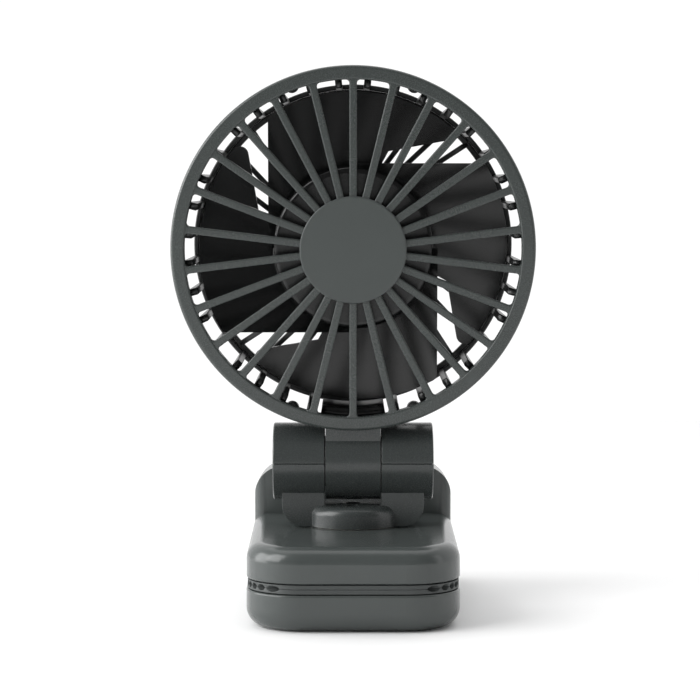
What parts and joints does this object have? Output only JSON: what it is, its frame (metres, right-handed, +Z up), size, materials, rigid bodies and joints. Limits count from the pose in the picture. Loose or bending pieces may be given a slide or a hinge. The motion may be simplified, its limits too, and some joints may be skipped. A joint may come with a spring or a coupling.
{
  "type": "clip-on desk fan",
  "caption": "Small rechargeable fan in a round spoked cage, on a tilting and swivelling yoke over a spring clip base with grooved rubber pads.",
  "frame": {"origin": "on the surface the clip stands on, directly under the swivel axis", "axes": "+Z up; -Y is where the fan blows at rest; +X is to the right of someone facing the fan"},
  "size_m": [0.106, 0.0996, 0.1583],
  "materials": {
    "grille_grey": "satin moulded plastic, fine grain",
    "cap_grey": "satin moulded plastic, fine grain",
    "cage_black": "satin moulded plastic",
    "impeller_black": "semi-gloss moulded plastic",
    "body_grey": "satin moulded plastic, fine grain",
    "base_grey": "satin moulded plastic, fine grain",
    "pad_rubber": "matt silicone rubber",
    "button_rubber": "matt silicone rubber",
    "screw_steel": "blackened zinc",
    "bright_steel": "turned steel",
    "core_steel": "pressed steel",
    "copper_wire": "enamelled copper wire",
    "brass": "turned brass",
    "bronze": "sintered bronze",
    "circuit_board": "solder-masked board",
    "magnet_black": "bonded ferrite",
    "washer_nylon": "natural nylon",
    "cell_wrap": "heat-shrink film",
    "light_pipe": "frosted clear plastic"
  },
  "bodies": {
    "lower_jaw": {"lower_jaw_shell": "base_grey", "lower_jaw_plate": "base_grey", "lower_grip_pad": "pad_rubber", "lower_jaw_screws": "screw_steel", "clip_pivot_pin": "bright_steel", "clip_springs": "bright_steel"},
    "base": {"upper_jaw_shell": "base_grey", "upper_jaw_plate": "base_grey", "upper_grip_pad": "pad_rubber", "upper_jaw_screws": "screw_steel", "hump_rear_cover": "base_grey", "battery_cell": "cell_wrap", "control_board": "circuit_board", "tact_switch": "core_steel", "usb_c_port": "bright_steel", "charge_lights": "light_pipe"},
    "speed_button": {"speed_button": "button_rubber"},
    "yoke": {"yoke_body": "body_grey", "right_barrel_cover": "body_grey", "left_barrel_cover": "body_grey", "right_end_cap": "body_grey", "left_end_cap": "body_grey", "friction_washers": "washer_nylon", "hinge_spring_washer": "bright_steel", "hinge_nut": "bright_steel", "hinge_axle": "bright_steel", "swivel_thrust_washer": "washer_nylon", "swivel_spring_washer": "bright_steel", "swivel_retainer": "core_steel", "retainer_screws": "screw_steel"},
    "head": {"front_grille": "grille_grey", "grille_centre_cap": "cap_grey", "rear_cage": "cage_black", "rear_guard": "cage_black", "rear_hub_cap": "cage_black", "grille_screws": "screw_steel", "neck_arm": "body_grey", "neck_rear_cover": "body_grey", "neck_cover_screws": "screw_steel", "stator_core": "core_steel", "stator_windings": "copper_wire", "bearing_tube": "brass", "shaft_bushes": "bronze", "motor_board": "circuit_board"},
    "rotor": {"impeller": "impeller_black", "rotor_bell": "core_steel", "rotor_magnet": "magnet_black", "rotor_shaft": "bright_steel", "shaft_clip": "bright_steel"}
  },
  "joints": [
    {"name": "clip_hinge", "type": "hinge", "parent": "lower_jaw", "child": "base", "pos_m": [0, 0.02404, 0.012], "axis": [-1, 0, 0], "range_deg": [0, 20], "stiffness_Nm_per_rad": 0.8, "springref_deg": -34.38},
    {"name": "button_press", "type": "slide", "parent": "base", "child": "speed_button", "axis": [0, -1, 0], "range_m": [0, 0.0006], "stiffness_N_per_m": 900, "springref_m": -0.0004},
    {"name": "swivel", "type": "hinge", "parent": "base", "child": "yoke", "pos_m": [0, 0, 0.02335], "axis": [0, 0, 1], "range_deg": [-180, 180]},
    {"name": "head_tilt", "type": "hinge", "parent": "yoke", "child": "head", "pos_m": [0, 0, 0.0425], "axis": [1, 0, 0], "range_deg": [-49.7, 55.3]},
    {"name": "fan_spin", "type": "hinge", "parent": "head", "child": "rotor", "pos_m": [0, -0.0172, 0.1052], "axis": [0, -0.9966, -0.0819], "continuous": true}
  ]
}
